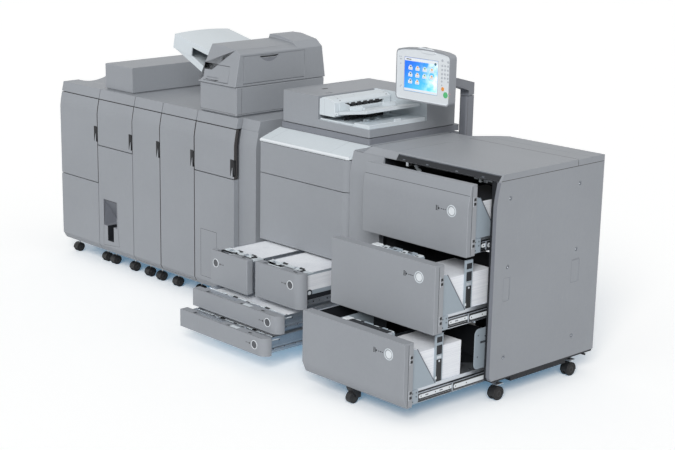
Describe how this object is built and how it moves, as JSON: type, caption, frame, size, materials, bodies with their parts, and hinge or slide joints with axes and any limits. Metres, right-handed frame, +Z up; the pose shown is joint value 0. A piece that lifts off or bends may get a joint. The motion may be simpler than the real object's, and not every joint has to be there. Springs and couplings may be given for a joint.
{
  "type": "laser multifunction printer",
  "caption": "Production laser multifunction printer line: print engine with document feeder and upright touch panel, paper deck with open drawers and docked paper-handling cabinets.",
  "frame": {"origin": "middle of the line's footprint on the floor, drawers open as stored", "axes": "+X along the line towards the paper deck, -Y towards the operator, +Z up"},
  "size_m": [3.374, 1.288, 1.484],
  "materials": {
    "grey_cover": "satin",
    "dark_cover": "satin",
    "pale_plastic": "satin",
    "black_plastic": "matte",
    "frame_steel": "matte",
    "tray_steel": "satin",
    "drum_coating": "gloss",
    "glass": "gloss",
    "screen": "gloss",
    "green_key": "gloss"
  },
  "bodies": {
    "line": {"casters": "black_plastic", "deck_frame": "frame_steel", "deck_covers": "grey_cover", "engine_frame": "frame_steel", "engine_covers": "grey_cover", "work_shelf": "pale_plastic", "imaging_unit": "drum_coating", "scanner_base": "dark_cover", "platen_glass": "glass", "panel_column": "dark_cover", "stacker_cabinet": "grey_cover", "folding_cabinet": "grey_cover", "punch_cabinet": "grey_cover", "binding_cabinet": "grey_cover", "inserter_cabinet": "grey_cover", "docking_cabinet": "grey_cover", "relay_box": "grey_cover", "inserter_housing": "grey_cover", "inserter_trays": "pale_plastic"},
    "feeder": {"feeder_housing": "grey_cover", "feeder_unit": "pale_plastic"},
    "document_tray": {"document_tray": "pale_plastic"},
    "feeder_cover": {"feeder_cover": "grey_cover"},
    "panel_arm": {"panel_arm": "dark_cover"},
    "panel": {"panel_housing": "grey_cover", "panel_screen": "screen"},
    "start_key": {"start_key": "green_key"},
    "inserter_side_cover": {"inserter_side_cover": "grey_cover"},
    "inserter_flap": {"inserter_flap": "grey_cover"},
    "deck_top_drawer": {"deck_top_front": "grey_cover", "deck_top_tray": "tray_steel"},
    "deck_top_button": {"deck_top_button": "pale_plastic"},
    "deck_middle_drawer": {"deck_middle_front": "grey_cover", "deck_middle_tray": "tray_steel"},
    "deck_middle_button": {"deck_middle_button": "pale_plastic"},
    "deck_bottom_drawer": {"deck_bottom_front": "grey_cover", "deck_bottom_tray": "tray_steel"},
    "deck_bottom_button": {"deck_bottom_button": "pale_plastic"},
    "left_deck_drawer": {"left_deck_front": "grey_cover", "left_deck_tray": "tray_steel"},
    "left_deck_button": {"left_deck_button": "dark_cover"},
    "right_deck_drawer": {"right_deck_front": "grey_cover", "right_deck_tray": "tray_steel"},
    "right_deck_button": {"right_deck_button": "dark_cover"},
    "upper_cassette_drawer": {"upper_cassette_front": "grey_cover", "upper_cassette_tray": "tray_steel"},
    "upper_cassette_button": {"upper_cassette_button": "dark_cover"},
    "lower_cassette_drawer": {"lower_cassette_front": "grey_cover", "lower_cassette_tray": "tray_steel"},
    "lower_cassette_button": {"lower_cassette_button": "dark_cover"},
    "deck_top_slides": {"deck_top_slides": "tray_steel"},
    "deck_middle_slides": {"deck_middle_slides": "tray_steel"},
    "deck_bottom_slides": {"deck_bottom_slides": "tray_steel"},
    "stacker_door": {"stacker_door": "grey_cover"},
    "folding_door": {"folding_door": "grey_cover"},
    "punch_door": {"punch_door": "grey_cover"},
    "binding_door": {"binding_door": "grey_cover"},
    "inserter_door": {"inserter_door": "grey_cover"},
    "engine_upper_door": {"engine_upper_door": "grey_cover"},
    "engine_lower_door": {"engine_lower_door": "grey_cover"}
  },
  "joints": [
    {"name": "deck_top_drawer", "type": "slide", "parent": "line", "child": "deck_top_drawer", "axis": [0, -1, 0], "range_m": [-0.12, 0.38]},
    {"name": "deck_top_button", "type": "slide", "parent": "deck_top_drawer", "child": "deck_top_button", "axis": [0, 1, 0], "range_m": [0, 0.004], "stiffness_N_per_m": 600},
    {"name": "deck_middle_drawer", "type": "slide", "parent": "line", "child": "deck_middle_drawer", "axis": [0, -1, 0], "range_m": [-0.309, 0.191]},
    {"name": "deck_middle_button", "type": "slide", "parent": "deck_middle_drawer", "child": "deck_middle_button", "axis": [0, 1, 0], "range_m": [0, 0.004], "stiffness_N_per_m": 600},
    {"name": "deck_bottom_drawer", "type": "slide", "parent": "line", "child": "deck_bottom_drawer", "axis": [0, -1, 0], "range_m": [-0.48, 0.02]},
    {"name": "deck_bottom_button", "type": "slide", "parent": "deck_bottom_drawer", "child": "deck_bottom_button", "axis": [0, 1, 0], "range_m": [0, 0.004], "stiffness_N_per_m": 600},
    {"name": "left_deck_drawer", "type": "slide", "parent": "line", "child": "left_deck_drawer", "axis": [0, -1, 0], "range_m": [-0.325, 0.195]},
    {"name": "left_deck_button", "type": "slide", "parent": "left_deck_drawer", "child": "left_deck_button", "axis": [0, 1, 0], "range_m": [0, 0.004], "stiffness_N_per_m": 600},
    {"name": "right_deck_drawer", "type": "slide", "parent": "line", "child": "right_deck_drawer", "axis": [0, -1, 0], "range_m": [-0.3, 0.22]},
    {"name": "right_deck_button", "type": "slide", "parent": "right_deck_drawer", "child": "right_deck_button", "axis": [0, 1, 0], "range_m": [0, 0.004], "stiffness_N_per_m": 600},
    {"name": "upper_cassette_drawer", "type": "slide", "parent": "line", "child": "upper_cassette_drawer", "axis": [0, -1, 0], "range_m": [-0.44, 0.08]},
    {"name": "upper_cassette_button", "type": "slide", "parent": "upper_cassette_drawer", "child": "upper_cassette_button", "axis": [0, 1, 0], "range_m": [0, 0.004], "stiffness_N_per_m": 600},
    {"name": "lower_cassette_drawer", "type": "slide", "parent": "line", "child": "lower_cassette_drawer", "axis": [0, -1, 0], "range_m": [-0.52, 0]},
    {"name": "lower_cassette_button", "type": "slide", "parent": "lower_cassette_drawer", "child": "lower_cassette_button", "axis": [0, 1, 0], "range_m": [0, 0.004], "stiffness_N_per_m": 600},
    {"name": "deck_top_slides", "type": "slide", "parent": "line", "child": "deck_top_slides", "axis": [0, -1, 0], "range_m": [-0.06, 0.19]},
    {"name": "deck_middle_slides", "type": "slide", "parent": "line", "child": "deck_middle_slides", "axis": [0, -1, 0], "range_m": [-0.1545, 0.0955]},
    {"name": "deck_bottom_slides", "type": "slide", "parent": "line", "child": "deck_bottom_slides", "axis": [0, -1, 0], "range_m": [-0.24, 0.01]},
    {"name": "stacker_door", "type": "hinge", "parent": "line", "child": "stacker_door", "pos_m": [-1.674, -0.114, 0.74], "axis": [0, 0, -1], "range_deg": [0, 105]},
    {"name": "folding_door", "type": "hinge", "parent": "line", "child": "folding_door", "pos_m": [-1.29, -0.114, 0.85], "axis": [0, 0, -1], "range_deg": [0, 105]},
    {"name": "punch_door", "type": "hinge", "parent": "line", "child": "punch_door", "pos_m": [-0.95, -0.114, 0.55], "axis": [0, 0, -1], "range_deg": [0, 105]},
    {"name": "binding_door", "type": "hinge", "parent": "line", "child": "binding_door", "pos_m": [-0.694, -0.114, 0.55], "axis": [0, 0, -1], "range_deg": [0, 105]},
    {"name": "inserter_door", "type": "hinge", "parent": "line", "child": "inserter_door", "pos_m": [-0.391, -0.114, 0.852], "axis": [0, 0, -1], "range_deg": [0, 105]},
    {"name": "engine_upper_door", "type": "hinge", "parent": "line", "child": "engine_upper_door", "pos_m": [0.147, -0.114, 0.88], "axis": [0, 0, -1], "range_deg": [0, 105]},
    {"name": "engine_lower_door", "type": "hinge", "parent": "line", "child": "engine_lower_door", "pos_m": [0.147, -0.114, 0.627], "axis": [0, 0, -1], "range_deg": [0, 105]},
    {"name": "feeder", "type": "hinge", "parent": "line", "child": "feeder", "pos_m": [0.455, 0.633, 1.06124], "axis": [-1, 0, 0], "range_deg": [0, 60]},
    {"name": "document_tray", "type": "hinge", "parent": "feeder", "child": "document_tray", "pos_m": [0.5359, 0.216, 1.13072], "axis": [0, -1, 0], "range_deg": [0, 30]},
    {"name": "feeder_cover", "type": "hinge", "parent": "feeder", "child": "feeder_cover", "pos_m": [0.166, 0.216, 1.1996], "axis": [0, -1, 0], "range_deg": [0, 70]},
    {"name": "panel_swivel", "type": "hinge", "parent": "line", "child": "panel_arm", "pos_m": [0.8555, 0.5944, 1.23], "axis": [0, 0, 1], "range_deg": [-10, 40]},
    {"name": "panel_tilt", "type": "hinge", "parent": "panel_arm", "child": "panel", "pos_m": [0.946, 0.244, 1.322], "axis": [-1, 0, 0], "range_deg": [0, 30]},
    {"name": "start_key", "type": "slide", "parent": "panel", "child": "start_key", "axis": [0, 1, 0], "range_m": [0, 0.0015], "stiffness_N_per_m": 400},
    {"name": "inserter_side_cover", "type": "hinge", "parent": "line", "child": "inserter_side_cover", "pos_m": [-0.094, 0.176, 1.214], "axis": [0, 1, 0], "range_deg": [0, 85]},
    {"name": "inserter_flap", "type": "hinge", "parent": "line", "child": "inserter_flap", "pos_m": [-0.2415, -0.0946, 1.214], "axis": [1, 0, 0], "range_deg": [0, 85]}
  ],
  "couplings": [
    {"joint": "deck_top_slides", "follows": "deck_top_drawer", "ratio": 0.5},
    {"joint": "deck_middle_slides", "follows": "deck_middle_drawer", "ratio": 0.5},
    {"joint": "deck_bottom_slides", "follows": "deck_bottom_drawer", "ratio": 0.5}
  ]
}
